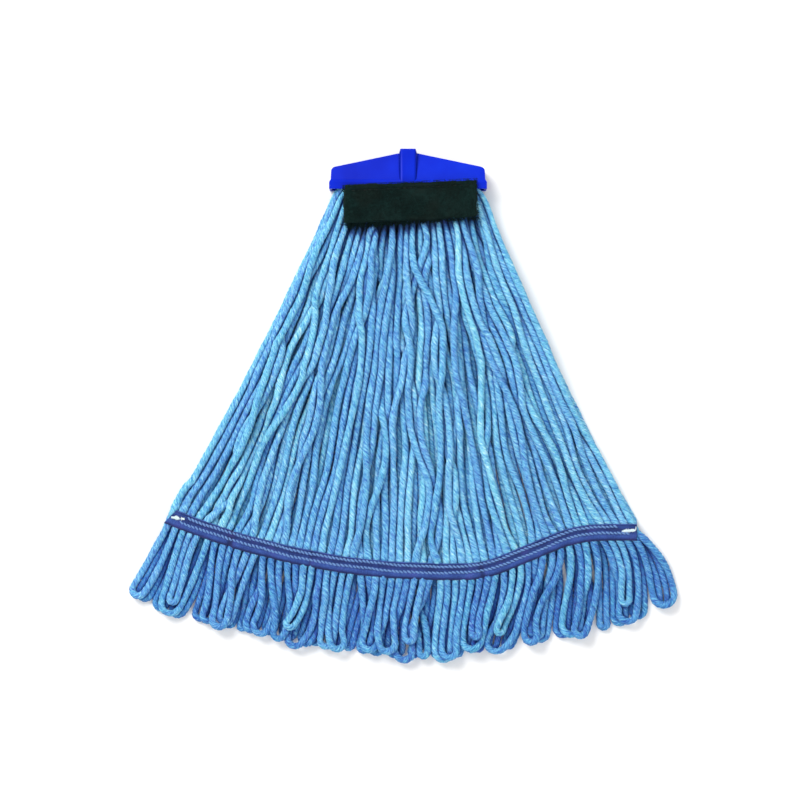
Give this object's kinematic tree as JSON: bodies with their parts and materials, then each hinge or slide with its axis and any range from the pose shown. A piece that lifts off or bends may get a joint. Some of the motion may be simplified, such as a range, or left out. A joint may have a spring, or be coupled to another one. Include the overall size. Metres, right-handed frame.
{
  "type": "string mop head",
  "caption": "Lie-flat looped-end string mop head with a moulded trapezoid header, screw-on socket, scrub pad and sewn tail bands.",
  "frame": {"origin": "centre of the mouth of the handle's threaded socket, at the top of the hub", "axes": "+Y along the socket towards the handle, +X to the right seen from the front, +Z out of the front; the head lies on its rear side at z = -0.013"},
  "size_m": [0.483, 0.457, 0.0336],
  "materials": {
    "header_plastic": "satin moulded",
    "insert_metal": "zinc plated",
    "rod_steel": "drawn",
    "yarn": "twisted heathered yarn",
    "band_fabric": "woven tape",
    "band_thread": "sewing thread",
    "white_thread": "sewing thread",
    "pad_fibre": "non-woven scouring fibre",
    "pad_thread": "sewing thread"
  },
  "bodies": {
    "header": {"front_cover": "header_plastic", "rear_cover": "header_plastic", "socket_insert": "insert_metal", "yarn_rod": "rod_steel", "yarn_fold": "yarn", "headband_tape": "band_fabric", "headband_thread": "band_thread"},
    "front_skirt": {"front_yarn": "yarn", "front_band_outer": "band_fabric", "front_band_inner": "band_fabric", "front_band_thread": "band_thread", "front_band_bartacks": "white_thread"},
    "front_fringe": {"front_loops": "yarn"},
    "rear_skirt": {"rear_yarn": "yarn", "rear_band_outer": "band_fabric", "rear_band_inner": "band_fabric", "rear_band_thread": "band_thread", "rear_band_bartacks": "white_thread"},
    "rear_fringe": {"rear_loops": "yarn"},
    "pad_flap": {"scrub_pad": "pad_fibre", "pad_thread": "pad_thread"}
  },
  "joints": [
    {"name": "front_skirt_lift", "type": "hinge", "parent": "header", "child": "front_skirt", "pos_m": [0, -0.026, 0.01325], "axis": [-1, 0, 0], "range_deg": [0, 90]},
    {"name": "rear_skirt_lift", "type": "hinge", "parent": "header", "child": "rear_skirt", "pos_m": [0, -0.0365, -0.013], "axis": [1, 0, 0], "range_deg": [0, 90]},
    {"name": "front_fringe_swing", "type": "hinge", "parent": "front_skirt", "child": "front_fringe", "pos_m": [0, -0.38625, 0.0015], "axis": [-1, 0, 0], "range_deg": [0, 90]},
    {"name": "rear_fringe_swing", "type": "hinge", "parent": "rear_skirt", "child": "rear_fringe", "pos_m": [0, -0.38625, -0.013], "axis": [1, 0, 0], "range_deg": [0, 90]},
    {"name": "pad_flap_lift", "type": "hinge", "parent": "front_skirt", "child": "pad_flap", "pos_m": [0, -0.026, 0.02025], "axis": [-1, 0, 0], "range_deg": [0, 60]}
  ]
}
